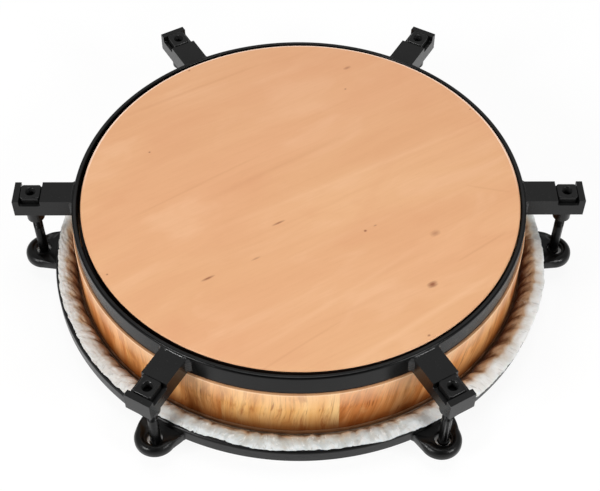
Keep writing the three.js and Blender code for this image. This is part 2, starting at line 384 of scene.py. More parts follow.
def black_oxide():
    """Oiled screws: dark, with lengthwise drawn lines, whose brightest streaks are painted highlights."""
    t = Tree("black_oxide")
    co = t.coords()
    lines = t.noise(t.mapping(co, scale=(900.0, 900.0, 26.0)), 1.0, 2.0, 0.5)
    broad = t.noise(co, 160.0, 2.0, 0.5)
    colour = t.ramp(lines, [(0.40, srgb(5, 5, 5)), (0.56, srgb(9, 9, 9)), (0.65, srgb(44, 44, 44)), (0.73, srgb(112, 112, 112))])
    # painted shade: the bolt's end deep in the nut is darkened and dulled
    colour = t.mix(t.math("GREATER_THAN", t.xyz(co)[2], 0.0700), colour, srgb(7, 7, 7))
    dull = t.math("MULTIPLY", t.math("GREATER_THAN", t.xyz(co)[2], 0.0700), 0.5)
    t.set(Base_Color=colour, Roughness=t.math("ADD", dull, t.math("ADD", t.math("MULTIPLY", broad, 0.16), 0.20)), Normal=t.bump(lines, 0.00008, 0.4))
    t.shader.inputs["Specular IOR Level"].default_value = 0.14
    return t.mat


BLACK_OXIDE = black_oxide()


def board_wood():
    t = Tree("board_wood")
    co = t.coords()
    turned = t.mapping(co, rotation=(0, 0, math.radians(-30.5)))
    x, y, z = (t.xyz(turned)[k] for k in range(3))
    # the lines fan a little and wander
    wander = t.noise(t.mapping(turned, scale=(3.0, 5.0, 1)), 1.0, 2.0, 0.5)
    y2 = t.math("ADD", y, t.math("MULTIPLY", t.math("SUBTRACT", wander, 0.5), 0.022))
    along = t.vector(x, y2, z)
    broad = t.noise(t.mapping(along, scale=(3.2, 22.0, 1)), 1.0, 3.0, 0.55)
    bands = t.noise(t.mapping(along, scale=(5.0, 75.0, 1)), 1.0, 4.0, 0.6, 0.4)
    fine = t.noise(t.mapping(along, scale=(28.0, 620.0, 1)), 1.0, 4.0, 0.65)
    pores = t.noise(t.mapping(along, scale=(150.0, 1900.0, 1)), 1.0, 2.0, 0.5)
    base = t.ramp(broad, [(0.30, srgb(225, 169, 123)), (0.50, srgb(228, 174, 128)), (0.72, srgb(232, 180, 134))])
    pink = t.noise(t.mapping(along, scale=(4.0, 9.0, 1), location=(3, 7, 0)), 1.0, 2.0, 0.5)
    base = t.mix(t.grey(pink, [(0.45, 0.0), (0.72, 0.5)]), base, srgb(228, 168, 127))
    flame = t.noise(t.mapping(turned, scale=(14.0, 34.0, 1), location=(1, 5, 0)), 1.0, 3.0, 0.55, 0.6)
    base = t.mix(t.grey(flame, [(0.52, 0.0), (0.68, 0.46)]), base, srgb(221, 160, 117))
    base = t.mix(t.grey(flame, [(0.32, 0.50), (0.46, 0.0)]), base, srgb(237, 187, 145))
    # painted shade: the rear of the board a little darker and pinker
    rear_shade = t.math("MULTIPLY", t.math("ADD", t.xyz(co)[1], 0.02), 7.0, clamp=True)
    base = t.mix(t.math("MULTIPLY", rear_shade, 0.30), base, srgb(222, 162, 125))
    base = t.mix(t.grey(bands, [(0.30, 0.36), (0.50, 0.0)]), base, srgb(219, 160, 116))
    base = t.mix(t.grey(bands, [(0.56, 0.0), (0.74, 0.32)]), base, srgb(237, 189, 147))
    base = t.mix(t.grey(fine, [(0.38, 0.08), (0.55, 0.0)]), base, srgb(206, 145, 101))
    base = t.mix(t.grey(pores, [(0.28, 0.10), (0.38, 0.0)]), base, srgb(190, 128, 88))
    # long darker and lighter streaks: (x, y of the middle in mm, half length, half width, degrees, strength)
    for mx, my, half, width, deg, strength, light in (
        (-76, 97, 60, 2.0, 30, 0.38, False),
        (33, 12, 110, 2.6, 28.5, 0.20, True),
        (-15, 20, 60, 3.4, 33, 0.30, False),
        (78, -103, 62, 3.4, 37, 0.42, True),
        (-70, 2, 55, 1.4, 34, 0.32, False),
        (28, -86, 70, 2.6, 39, 0.22, True),
        (-5, -130, 40, 1.2, 37, 0.35, False),
        (126, 2, 16, 1.1, -12, 0.32, False),
        (116, -48, 22, 1.1, 36, 0.40, False),
    ):
        a = math.radians(deg)
        local = t.mapping(co, location=(0, 0, 0), rotation=(0, 0, -a))
        u = t.math("SUBTRACT", t.xyz(local)[0], (mx * math.cos(a) + my * math.sin(a)) * 0.001)
        v = t.math("SUBTRACT", t.xyz(local)[1], (-mx * math.sin(a) + my * math.cos(a)) * 0.001)
        v = t.math("ADD", v, t.math("MULTIPLY", t.math("SUBTRACT", wander, 0.5), 0.008))
        ends = t.math("SUBTRACT", 1.0, t.math("POWER", t.math("MULTIPLY", t.math("ABSOLUTE", u), 1000.0 / half), 4.0), clamp=True)
        across = t.math("SUBTRACT", 1.0, t.math("MULTIPLY", t.math("ABSOLUTE", v), 1000.0 / width), clamp=True)
        mask = t.math("MULTIPLY", t.math("MULTIPLY", ends, across), strength)
        base = t.mix(mask, base, srgb(241, 194, 151) if light else srgb(208, 147, 104))
    # small knots and flecks: (x, y in mm, length, width, strength)
    for kx, ky, length, width, strength in (
        (82.7, -79.7, 3.4, 2.2, 0.9), (-57.1, -74.5, 4.4, 0.9, 0.85), (-13.3, -28.7, 4.6, 0.9, 0.75),
        (42.6, -35.6, 1.1, 0.9, 0.95), (87.5, -37.8, 3.6, 2.2, 0.45), (35.4, 120.6, 3.0, 1.3, 0.5),
        (33.5, 98.2, 0.9, 0.7, 0.7), (-101.7, 35.4, 0.8, 0.7, 0.8), (-120.3, -71.3, 0.8, 0.7, 0.8),
        (-79.1, 117.9, 1.0, 0.7, 0.8), (77.7, -118.7, 1.1, 0.8, 0.8), (120.8, 77.2, 0.9, 0.7, 0.6),
        (49.2, -31.1, 1.3, 0.6, 0.5), (-27.4, -58.6, 3.0, 0.7, 0.4),
    ):
        a = math.radians(30.5)
        u = t.math("SUBTRACT", x, (kx * math.cos(a) + ky * math.sin(a)) * 0.001)
        v = t.math("SUBTRACT", y, (-kx * math.sin(a) + ky * math.cos(a)) * 0.001)
        d = t.math("SQRT", t.math("ADD", t.math("POWER", t.math("MULTIPLY", u, 1000.0 / length), 2.0),
                                  t.math("POWER", t.math("MULTIPLY", v, 1000.0 / width), 2.0)))
        d = t.math("ADD", d, t.math("MULTIPLY", t.math("SUBTRACT", fine, 0.5), 0.6))
        mask = t.math("MULTIPLY", t.math("SUBTRACT", 1.25, d, clamp=True), strength, clamp=True)
        base = t.mix(mask, base, srgb(138, 78, 48))
    # the sawn edge below the bevel is painted dark: painted shade for the gap inside the ring
    ex, ey, ez = (t.xyz(co)[k] for k in range(3))
    from_middle = t.math("SQRT", t.math("ADD", t.math("POWER", t.math("SUBTRACT", ex, 0.00095), 2.0), t.math("POWER", t.math("SUBTRACT", ey, 0.0006), 2.0)))
    edge = t.math("MULTIPLY", t.math("GREATER_THAN", from_middle, 0.1448), t.math("LESS_THAN", ez, 0.0782))
    base = t.mix(edge, base, srgb(30, 18, 11))
    # painted highlight: a pale line on the bevel at the rear
    rear_bevel_glint = t.math("MULTIPLY", t.math("GREATER_THAN", from_middle, 0.1436), t.math("MULTIPLY", t.math("ADD", ey, 0.005), 22.0, clamp=True))
    base = t.mix(t.math("MULTIPLY", t.math("MULTIPLY", rear_bevel_glint, t.math("GREATER_THAN", ez, 0.0782)), 0.85), base, srgb(255, 222, 200))
    rough = t.math("ADD", t.math("MULTIPLY", fine, 0.12), 0.42)
    t.set(Base_Color=base, Roughness=rough, Normal=t.bump(fine, 0.00003, 0.15))
    t.shader.inputs["Specular IOR Level"].default_value = 0.35
    return t.mat


def shell_wood():
    """Glued hardwood staves under lacquer. The attributes tone and seed differ from stave to stave."""
    t = Tree("shell_wood")
    tone, seed = t.attribute("tone"), t.attribute("seed")
    arc, up = t.attribute("arc"), t.attribute("up")
    shift = t.math("MULTIPLY", seed, 7.3)
    lean = t.math("MULTIPLY", t.math("SUBTRACT", t.attribute("lean"), 0.5), 1.1)
    a2 = t.math("ADD", arc, t.math("MULTIPLY", up, lean))
    flow = t.noise(t.vector(t.math("MULTIPLY", a2, 26.0), t.math("MULTIPLY", up, 14.0), shift), 1.0, 2.0, 0.5)
    a3 = t.math("ADD", a2, t.math("MULTIPLY", t.math("SUBTRACT", flow, 0.5), 0.020))
    broad = t.noise(t.vector(t.math("MULTIPLY", a3, 75.0), t.math("MULTIPLY", up, 5.0), shift), 1.0, 3.0, 0.6)
    lines = t.noise(t.vector(t.math("MULTIPLY", a3, 250.0), t.math("MULTIPLY", up, 14.0), shift), 1.0, 3.0, 0.60, 0.2)
    fine = t.noise(t.vector(t.math("MULTIPLY", a3, 900.0), t.math("MULTIPLY", up, 30.0), shift), 1.0, 4.0, 0.65)
    dashes = t.noise(t.vector(t.math("MULTIPLY", a3, 420.0), t.math("MULTIPLY", up, 55.0), t.math("ADD", shift, 3.0)), 1.0, 2.0, 0.5)
    warm = t.ramp(broad, [(0.32, srgb(216, 148, 78)), (0.50, srgb(240, 182, 110)), (0.66, srgb(250, 206, 140))])
    red = t.ramp(broad, [(0.32, srgb(194, 106, 48)), (0.50, srgb(224, 142, 76)), (0.66, srgb(243, 174, 112))])
    base = t.mix(tone, warm, red)
    base = t.mix(t.grey(lines, [(0.32, 0.62), (0.44, 0.0)]), base, srgb(164, 94, 38))
    base = t.mix(t.grey(lines, [(0.60, 0.0), (0.74, 0.28)]), base, srgb(248, 204, 146))
    base = t.mix(t.grey(fine, [(0.35, 0.50), (0.49, 0.0)]), base, srgb(160, 94, 40))
    base = t.mix(t.grey(dashes, [(0.27, 0.70), (0.35, 0.0)]), base, srgb(142, 70, 22))
    blot = t.noise(t.vector(t.math("MULTIPLY", a3, 125.0), t.math("MULTIPLY", up, 30.0), t.math("ADD", shift, 9.0)), 1.0, 4.0, 0.62, 0.35)
    base = t.mix(t.grey(blot, [(0.34, 0.75), (0.48, 0.0)]), base, srgb(172, 98, 44))
    base = t.mix(t.grey(blot, [(0.54, 0.0), (0.70, 0.5)]), base, srgb(250, 202, 138))
    # the rebate under the ring and the board is painted dark: painted shade where it shows in the gap
    rebate_shade = t.math("GREATER_THAN", up, 0.0630)
    # painted light and shade: paler near the ring, darker towards the head, most of all in front
    pale = t.math("MULTIPLY", t.math("SUBTRACT", up, 0.046), 1.0 / 0.016, clamp=True)
    base = t.mix(t.math("MULTIPLY", pale, 0.52), base, srgb(255, 212, 171))
    low = t.math("MULTIPLY", t.math("SUBTRACT", 0.050, up), 1.0 / 0.030, clamp=True)
    in_front = t.math("MULTIPLY", t.math("SUBTRACT", t.math("MULTIPLY", t.xyz(t.coords())[1], -6.61), 0.50), 2.4, clamp=True)
    at_side = t.grey(low, [(0.0, 0.0), (0.30, 0.14), (0.55, 0.44), (0.8, 0.78), (1.0, 0.94)])
    at_front = t.grey(low, [(0.0, 0.0), (0.15, 0.05), (0.28, 0.17), (0.40, 0.32), (0.60, 0.56), (0.78, 0.82), (1.0, 0.96)])
    base = t.mix(t.mix(in_front, at_side, at_front), base, srgb(106, 44, 1))
    # painted highlight: a pale line along the stave's rounded top edge
    edge_highlight = t.math("MULTIPLY", t.math("GREATER_THAN", up, 0.06195), t.math("LESS_THAN", up, 0.06255))
    base = t.mix(t.math("MULTIPLY", edge_highlight, 0.5), base, srgb(252, 226, 190))
    # painted shade: the ledge under the ring's overhang is browner
    base = t.mix(t.math("MULTIPLY", t.math("GREATER_THAN", up, 0.06255), 0.7), base, srgb(186, 132, 92))
    base = t.mix(rebate_shade, base, srgb(22, 13, 8))
    t.set(Base_Color=base, Roughness=t.math("ADD", t.math("MULTIPLY", fine, 0.10), 0.30), Normal=t.bump(fine, 0.00004, 0.3))
    t.shader.inputs["Specular IOR Level"].default_value = 0.12
    t.shader.inputs["Coat Weight"].default_value = 0.08
    t.shader.inputs["Coat Roughness"].default_value = 0.12
    return t.mat


def rawhide():
    """Hide: t runs from the shell (0) over the fold to the cut edge (1), th round the drum, h is the height of a pleat."""
    t = Tree("rawhide")
    run, th, h = t.attribute("run"), t.attribute("th"), t.attribute("pleat")
    co = t.coords()
    cloud = t.noise(co, 62.0, 4.0, 0.62)
    hair = t.noise(t.vector(t.math("MULTIPLY", th, 420.0), t.math("MULTIPLY", run, 3.5), 0.0), 1.0, 4.0, 0.6)
    slant = t.noise(t.vector(t.math("ADD", t.math("MULTIPLY", th, 260.0), t.math("MULTIPLY", run, 9.0)), t.math("MULTIPLY", run, 2.0), 4.0), 1.0, 3.0, 0.6)
    pores = t.noise(co, 1100.0, 2.0, 0.5)
    # one side is whiter at its edge and browner inside
    d_th = t.math("ABSOLUTE", t.math("SUBTRACT", th, 0.925))
    whiter = t.math("SUBTRACT", 1.0, t.math("MULTIPLY", t.math("SUBTRACT", d_th, 0.045), 14.0, clamp=True))
    run = t.math("SUBTRACT", run, t.math("MULTIPLY", whiter, 0.18))
    # in front the folds turn pale right from their crests
    d_front = t.math("ABSOLUTE", t.math("SUBTRACT", th, 0.745))
    front = t.math("SUBTRACT", 1.0, t.math("MULTIPLY", t.math("SUBTRACT", d_front, 0.10), 14.0, clamp=True))
    lifted = t.math("MULTIPLY", front, t.grey(run, [(0.12, 0.0), (0.30, 0.20), (0.6, 0.17), (1.0, 0.02)]))
    d_left = t.math("ABSOLUTE", t.math("SUBTRACT", th, 0.57))
    left = t.math("SUBTRACT", 1.0, t.math("MULTIPLY", t.math("SUBTRACT", d_left, 0.05), 12.0, clamp=True))
    lifted = t.math("ADD", lifted, t.math("MULTIPLY", left, t.grey(run, [(0.0, 0.16), (0.45, 0.16), (0.62, 0.05)])))
    # browner towards the shell: partly the hide's own colour, partly painted shade of the crevice; the pleat height
    # term is painted light on the crests
    mark = t.math("ADD", t.math("ADD", run, lifted), t.math("ADD", t.math("MULTIPLY", t.math("SUBTRACT", cloud, 0.5), 0.42),
                                     t.math("MULTIPLY", t.math("SUBTRACT", h, 0.5), 0.13)))
    colour = t.ramp(mark, [
        (0.00, srgb(92, 46, 14)), (0.20, srgb(106, 65, 31)), (0.38, srgb(142, 105, 70)), (0.52, srgb(172, 138, 103)),
        (0.62, srgb(183, 159, 131)), (0.72, srgb(185, 176, 160)), (0.84, srgb(179, 181, 177)), (0.94, srgb(187, 191, 190)),
        (1.0, srgb(209, 214, 215)),
    ])
    colour = t.mix(t.grey(hair, [(0.30, 0.30), (0.52, 0.0)]), colour, srgb(196, 180, 158))
    colour = t.mix(t.grey(slant, [(0.62, 0.0), (0.80, 0.35)]), colour, srgb(240, 238, 234))
    streak = t.noise(t.vector(t.math("MULTIPLY", th, 110.0), t.math("MULTIPLY", run, 1.8), 7.0), 1.0, 4.0, 0.62, 0.5)
    inside = t.grey(run, [(0.06, 0.25), (0.20, 1.0), (0.50, 1.0), (0.72, 0.0)])
    colour = t.mix(t.math("MULTIPLY", t.grey(streak, [(0.38, 0.52), (0.52, 0.0)]), inside), colour, srgb(96, 62, 34))
    colour = t.mix(t.math("MULTIPLY", t.grey(streak, [(0.51, 0.0), (0.66, 0.75)]), inside), colour, srgb(190, 156, 122))
    outer = t.grey(mark, [(0.66, 0.0), (0.80, 1.0)])
    soft_outer = t.grey(mark, [(0.56, 0.0), (0.70, 0.55), (0.84, 1.0)])
    colour = t.mix(t.math("MULTIPLY", soft_outer, whiter), colour, srgb(235, 237, 236))
    colour = t.mix(t.math("MULTIPLY", t.math("MULTIPLY", outer, left), 0.8), colour, srgb(214, 211, 206))
    crease = t.noise(t.vector(t.math("MULTIPLY", th, 400.0), t.math("MULTIPLY", run, 4.0), 11.0), 1.0, 4.0, 0.65, 0.5)
    colour = t.mix(t.math("MULTIPLY", t.grey(crease, [(0.34, 0.55), (0.44, 0.0)]), outer), colour, srgb(164, 162, 156))
    colour = t.mix(t.math("MULTIPLY", t.grey(crease, [(0.56, 0.0), (0.68, 0.7)]), outer), colour, srgb(228, 228, 226))
    # painted shade in the valleys, wide by the shell and running out to a point, and painted light on the ridges
    sunk = t.math("ADD", h, t.math("MULTIPLY", t.math("SUBTRACT", run, 0.24), 0.60))
    valley_shade = t.math("MULTIPLY", t.grey(sunk, [(0.28, 0.9), (0.66, 0.0)]), t.math("SUBTRACT", 1.0, t.math("MULTIPLY", left, 0.15)))
    ridge_light = t.grey(h, [(0.78, 0.0), (1.0, 0.55)])
    colour = t.mix(t.math("MULTIPLY", ridge_light, t.grey(run, [(0.10, 0.0), (0.22, 1.0), (0.50, 1.0), (0.62, 0.0)])), colour, srgb(178, 144, 112))
    colour = t.mix(t.math("MULTIPLY", valley_shade, t.grey(run, [(0.42, 1.0), (0.60, 0.0)])), colour, srgb(90, 50, 20))
    colour = t.mix(t.attribute("ply"), colour, srgb(104, 66, 34))
    face = t.attribute("face")
    mottle = t.noise(co, 22.0, 5.0, 0.62)
    head = t.ramp(mottle, [(0.30, srgb(222, 208, 178)), (0.50, srgb(234, 224, 200)), (0.70, srgb(241, 235, 217))])
    veins = t.noise(co, 60.0, 6.0, 0.7, 1.2)
    head = t.mix(t.grey(veins, [(0.44, 0.0), (0.50, 0.35), (0.56, 0.0)]), head, srgb(206, 188, 154))
    colour = t.mix(face, colour, head)
    # the stretched face has no creases, only pores
    slack = t.math("SUBTRACT", 1.0, face)
    crease, hair = t.math("MULTIPLY", crease, slack), t.math("MULTIPLY", hair, slack)
    t.set(Base_Color=colour, Roughness=t.math("ADD", t.math("MULTIPLY", cloud, 0.15), 0.52),
          Normal=t.bump(pores, 0.00008, 0.3, t.bump(crease, 0.00060, 0.6, t.bump(hair, 0.00035, 0.5))))
    t.shader.inputs["Subsurface Weight"].default_value = 0.05
    t.shader.inputs["Subsurface Radius"].default_value = (0.9, 0.6, 0.4)
    t.shader.inputs["Subsurface Scale"].default_value = 0.002
    t.shader.inputs["Sheen Weight"].default_value = 0.04
    t.shader.inputs["Specular IOR Level"].default_value = 0.35
    return t.mat


def steel(name, base, rough, stretch, metallic=1.0):
    t = Tree(name)
    co = t.coords()
    lines = t.noise(t.mapping(co, scale=stretch), 1.0, 3.0, 0.6)
    spots = t.noise(co, 300.0, 3.0, 0.6)
    colour = t.ramp(spots, [(0.3, tuple(c * 0.8 for c in base)), (0.7, base)])
    t.set(Base_Color=colour, Metallic=metallic, Roughness=t.math("ADD", t.math("MULTIPLY", lines, 0.18), rough), Normal=t.bump(lines, 0.00003, 0.3))
    return t.mat


BOARD_WOOD, SHELL_WOOD, RAWHIDE = board_wood(), shell_wood(), rawhide()
BRIGHT = steel("bright_zinc", srgb(232, 232, 230), 0.42, (900, 900, 200), 0.55)
HOOP_STEEL = steel("drawn_steel", srgb(150, 148, 144), 0.34, (200, 200, 900))


def ride(ob, body, slot, *nodes):
    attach(ob, body)
    if nodes:
        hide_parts(*nodes)
    return ob


# ------------------------------------------------------------------ board, ring
BOARD_R, BOARD_TOP = 145.3, 78.9  # it lies a little off centre, with an uneven dark gap inside the ring
board = lathe(
    "bottom_board_detail",
    [(0.6, 70.3), (60, 70.3), (120, 70.3), (BOARD_R - 0.5, 70.3), (BOARD_R - 0.15, 70.42), (BOARD_R, 70.8), (BOARD_R, BOARD_TOP - 1.0),
     (BOARD_R - 0.06, BOARD_TOP - 0.75), (BOARD_R - 0.6, BOARD_TOP - 0.2), (BOARD_R - 0.85, BOARD_TOP - 0.07), (BOARD_R - 1.2, BOARD_TOP),
     (120, BOARD_TOP), (60, BOARD_TOP), (0.6, BOARD_TOP)],
    360, BOARD_WOOD, closed=False)
board.data.transform(Matrix.Translation((0.00095, 0.0006, 0)))
ride(board, "shell_body", "board_wood", "bottom_board")

ring_profile = fillet([(146.8, 63.0), (150.0, 63.0), (150.0, 79.0), (146.8, 79.0)], [0.5, 0.7, 1.5, 0.8], 6)
ring = lathe("frame_ring_detail", ring_profile, 360, BLACK_RING)
ride(ring, "shell_body", "black_steel", "frame_ring")

# ------------------------------------------------------------------ staves
STAVE_ARC_STEPS = 22
half = math.pi / STAVES
stave_profile = np.concatenate([
    fillet([(141.0, 2.3), (151.3, 2.3), (151.3, 62.85), (146.0, 62.85), (146.0, 70.05), (141.0, 70.05)],
           [2.6, 3.6, 0.8, 0.3, 0.3, 0.5], 4)])
rng = np.random.default_rng(23)
for s in range(STAVES):
    mid = math.radians(STAVE_SEAM_DEG) + half * (2 * s + 1)
    edge = np.linspace(-1, 1, STAVE_ARC_STEPS + 1)
    edge = np.concatenate([[-1.0], edge[1:-1], [1.0]])
    th = mid + edge * (half - 0.00012)
    n = len(stave_profile)
    # the outer face ends in hairline chamfers at the glue lines
    pull = np.zeros(len(th))
    th = np.concatenate([[th[0]], [th[0] + 0.0010], th[1:-1], [th[-1] - 0.0010], [th[-1]]])
    pull = np.concatenate([[0.10], np.zeros(len(th) - 2), [0.10]])
    r = stave_profile[:, 0][None, :] - pull[:, None] * (stave_profile[:, 0][None, :] > 150)
    z = np.tile(stave_profile[:, 1], (len(th), 1))
    v = np.stack([r * np.cos(th)[:, None], r * np.sin(th)[:, None], z], -1)
    faces = [tuple(f) for f in grid_faces(len(th), n, False, True)]
    faces.append(tuple(range(n))[::-1])
    faces.append(tuple((len(th) - 1) * n + k for k in range(n)))
    tone = {0: 0.86, 1: 0.72, 2: 0.85, 12: 0.05, 11: 0.50, 10: 0.95, 9: 0.8}.get(s, float(rng.uniform(0.0, 0.9)))
    lean = {0: 0.26, 12: 0.50, 11: 0.46}.get(s, float(rng.uniform(0.2, 0.8)))
    ones = np.ones(v.shape[:2])
    ob = build(f"stave_{s + 1:02d}_detail", v, faces, SHELL_WOOD, {
        "tone": ones * tone, "seed": ones * (s * 1.7 + 0.3), "lean": ones * lean,
        "arc": ones * ((th - mid) * 0.1513)[:, None], "up": z * 0.001})
    ride(ob, "shell_body", "shell_wood", f"stave_{s + 1:02d}")

# ------------------------------------------------------------------ rim and flesh hoop
rim_profile = fillet([(155.8, 15.4), (168.0, 15.4), (168.0, 25.5), (164.5, 25.5), (164.5, 19.0), (155.8, 19.0)],
                     [1.0, 0.7, 2.0, 0.7, 1.4, 1.0], 6)
rim = lathe("rim_detail", rim_profile, 360, BLACK_CAST)
ride(rim, "rim_body", "black_steel", "rim", "rim_lip")

hoop_profile = [(160 + 3.95 * math.cos(a), 23.3 + 3.95 * math.sin(a)) for a in np.linspace(0, 2 * math.pi, 20, endpoint=False)]
hoop = lathe("flesh_hoop_detail", hoop_profile, 240, HOOP_STEEL, weighted=False)
ride(hoop, "rim_body", "hoop_steel", "flesh_hoop")

# ------------------------------------------------------------------ arms, lug nuts, bolts, washers
ARM_W, ARM_TOP, ARM_LOW, ARM_END, WALL = 18.0, 77.5, 64.2, 189.5, 2.5


def arm_shape():
    inside = ARM_W / 2 - WALL
    ob = plain(*box_mesh(140, ARM_END, -ARM_W / 2, ARM_W / 2, ARM_LOW, ARM_TOP))
    th = np.linspace(0, 2 * math.pi, 360, endpoint=False)
    core = plain(*prism([(149.9 * math.cos(a), 149.9 * math.sin(a)) for a in th], 50, 90))
    hollow = plain(*box_mesh(130, 185.3, -inside, inside, ARM_LOW + WALL, ARM_TOP - WALL))
    slot = plain(*box_mesh(171.2, 185.3, -inside, inside, ARM_LOW + WALL, ARM_TOP + 5))
    # the notch across both side walls, its lower corners rounded
    out = fillet([(171.2, 73.2), (185.3, 73.2), (185.3, 85.0), (171.2, 85.0)], [1.6, 0.8, 0, 0], 5)
    v, f = prism([(x, z) for x, z in out], -15, 15)
    notch = plain([(x, y, z) for x, z, y in v], f)
    hole = plain(*prism([(BOLT_CIRCLE + 6.35 * math.cos(a), 6.35 * math.sin(a)) for a in th[::8]], ARM_LOW - 3, ARM_LOW + WALL + 1))
    ob = cut(ob, [hollow, slot, notch, hole, core])
    b = ob.modifiers.new("edges", "BEVEL")
    b.width, b.segments, b.limit_method, b.angle_limit = 0.00045, 3, "ANGLE", math.radians(40)
    b.use_clamp_overlap = True
    bpy.context.view_layer.update()
    return mesh_data(ob)


def rounded_block(n, half_x, half_y, r):
    """Distance from the middle to a rounded rectangle's edge, over n angles."""
    out = np.zeros(n)
    for k, a in enumerate(np.arange(n) * 2 * math.pi / n):
        c, s = abs(math.cos(a)), abs(math.sin(a))
        d = min(half_x / c if c > 1e-9 else 1e9, half_y / s if s > 1e-9 else 1e9)
        x, y = d * c, d * s
        if x > half_x - r and y > half_y - r:
            cx, cy = half_x - r, half_y - r
            b = c * cx + s * cy
            d = b + math.sqrt(max(b * b - (cx * cx + cy * cy - r * r), 0))
        out[k] = d
    return out


def nut_rows():
    n = 96
    th = np.arange(n) * 2 * math.pi / n
    one = np.ones(n)
    edge = rounded_block(n, 6.5, 6.1, 1.6)
    rows = [(one * 3.95, 51.6 * one), (one * 4.1, 51.6 * one)]
    rows += [(one * r, one * z) for r, z in ((4.35, 51.68), (5.65, 53.1), (5.84, 53.4), (5.9, 53.8), (5.9, 66.4))]
    rows += [(edge - 0.6, one * 66.9), (edge - 0.2, one * 67.0), (edge, one * 67.4), (edge, one * 77.6)]
    rows += [(edge - 0.12, one * 77.95), (edge - 0.4, one * 78.2), (edge - 0.8, one * 78.3)]
    rows += [(one * 4.0, one * 78.3), (one * 3.8, one * 78.26), (one * 3.3, one * 77.75)]
    pitch, steps = 1.0, 8
    for z in np.arange(77.5, 52.3, -pitch / steps):
        phase = (z / pitch - th / (2 * math.pi)) % 1.0
        tooth = 1 - np.abs(2 * phase - 1)
        rows.append((3.45 - 0.42 * tooth * smoothstep(52.3, 53.5, z) * smoothstep(77.6, 76.8, z), one * z))
    rows.append((one * 3.5, one * 52.2))
    return rows


def bolt_rows():
    n = 48
    th = np.arange(n) * 2 * math.pi / n
    one = np.ones(n)
    hexagon = 5.5 / np.cos((th + math.pi / 6) % (math.pi / 3) - math.pi / 6)
    rows = [(one * 0.05, one * 10.25), (one * 4.2, one * 10.2), (one * 4.9, one * 10.0), (np.minimum(hexagon, 5.45), one * 10.0)]
    for z in (10.15, 10.35, 10.6):
        rows.append((np.minimum(hexagon, 5.45 + (z - 10.0) * 1.732), one * z))
    rows.append((hexagon, one * 14.7))
    rows.append((hexagon - 0.12, one * 15.0))
    rows.append((hexagon - 0.35, one * 15.1))
    rows += [(one * 3.7, one * 15.1), (one * 3.4, one * 15.2), (one * 3.28, one * 15.5), (one * 3.28, one * 42.0), (one * 3.28, one * 43.2)]
    pitch, steps = 1.0, 7
    for z in np.arange(43.5, 71.2, pitch / steps):
        phase = (z / pitch - th / (2 * math.pi)) % 1.0
        tooth = np.abs(2 * phase - 1)
        groove = smoothstep(0.12, 1.0, tooth) * 0.5 * smoothstep(43.4, 44.8, z)
        rows.append((3.3 - groove, one * z))
    rows += [(one * 2.85, one * 71.5), (one * 2.45, one * 71.95), (one * 2.1, one * 72.0), (one * 0.05, one * 72.0)]
    return rows


def washer_profile():
    return fillet([(3.8, 15.4), (8.0, 15.4), (8.0, 17.0), (3.8, 17.0)], [0.3, 0.45, 0.45, 0.3], 3)


arm_v, arm_f = arm_shape()
nut_r, bolt_r = nut_rows(), bolt_rows()
wash = washer_profile()
for n in range(1, LUGS + 1):
    deg = (n - 1) * 60
    ob = build(f"arm_{n}_detail", turned_about_z(arm_v, deg), arm_f, BLACK, angle=34)
    ride(ob, "shell_body", "black_steel", f"arm_{n}")
    # the rows inside the bore are marked for the painted shade
    inside = np.tile([1.0 if z.max() < 77.6 and r.max() < 3.6 else 0.0 for r, z in nut_r], 96)
    ob = polar(f"lug_nut_{n}_detail", nut_r, (BOLT_CIRCLE, 0), deg, BLACK, attrs={"bore_shade": inside})
    ride(ob, "shell_body", "black_steel", f"lug_nut_{n}")
    ob = polar(f"tuning_bolt_{n}_detail", bolt_r, (BOLT_CIRCLE, 0), deg, BLACK_OXIDE)
    ride(ob, f"bolt_{n}", "black_bolt", f"tuning_bolt_{n}")
    k = np.ones(40)
    ob = polar(f"washer_{n}_detail", [(k * r, k * z) for r, z in wash], (BOLT_CIRCLE, 0), deg, BRIGHT)
    ride(ob, "rim_body", "bright_washer", f"washer_{n}")


# ------------------------------------------------------------------ welds between arm and ring
def weld_run(points, outward, size, name, seed):
    """A fillet weld along points: outward holds, for each point, the two leg directions."""
    rng = np.random.default_rng(seed)
    rows = []
    n = len(points)
    for k, (p, (a, b)) in enumerate(zip(points, outward)):
        p, a, b = np.array(p, float), np.array(a, float), np.array(b, float)
        taper = min(1.0, 0.45 + 1.6 * min(k, n - 1 - k) / (n - 1) * 2)
        s = size * taper * (1 + 0.10 * math.sin(k * 2.1 + seed) + rng.uniform(-0.05, 0.05))
        inner = p - 0.35 * a - 0.35 * b
        ring_ = [inner, p + a * s - 0.35 * b]
        for q in np.linspace(0, 1, 6):
            flat = a * s * (1 - q) + b * s * q
            sag = (a + b) * s * 0.10 * math.sin(math.pi * q)
            ring_.append(p + flat - sag)
        ring_.append(p + b * s - 0.35 * a)
        rows.append(ring_)
    v = np.array(rows)
    m = v.shape[1]
    faces = [tuple(f) for f in grid_faces(n, m, False, True)]
    faces.append(tuple(range(m))[::-1])
    faces.append(tuple((n - 1) * m + k for k in range(m)))
    return v.reshape(-1, 3), faces


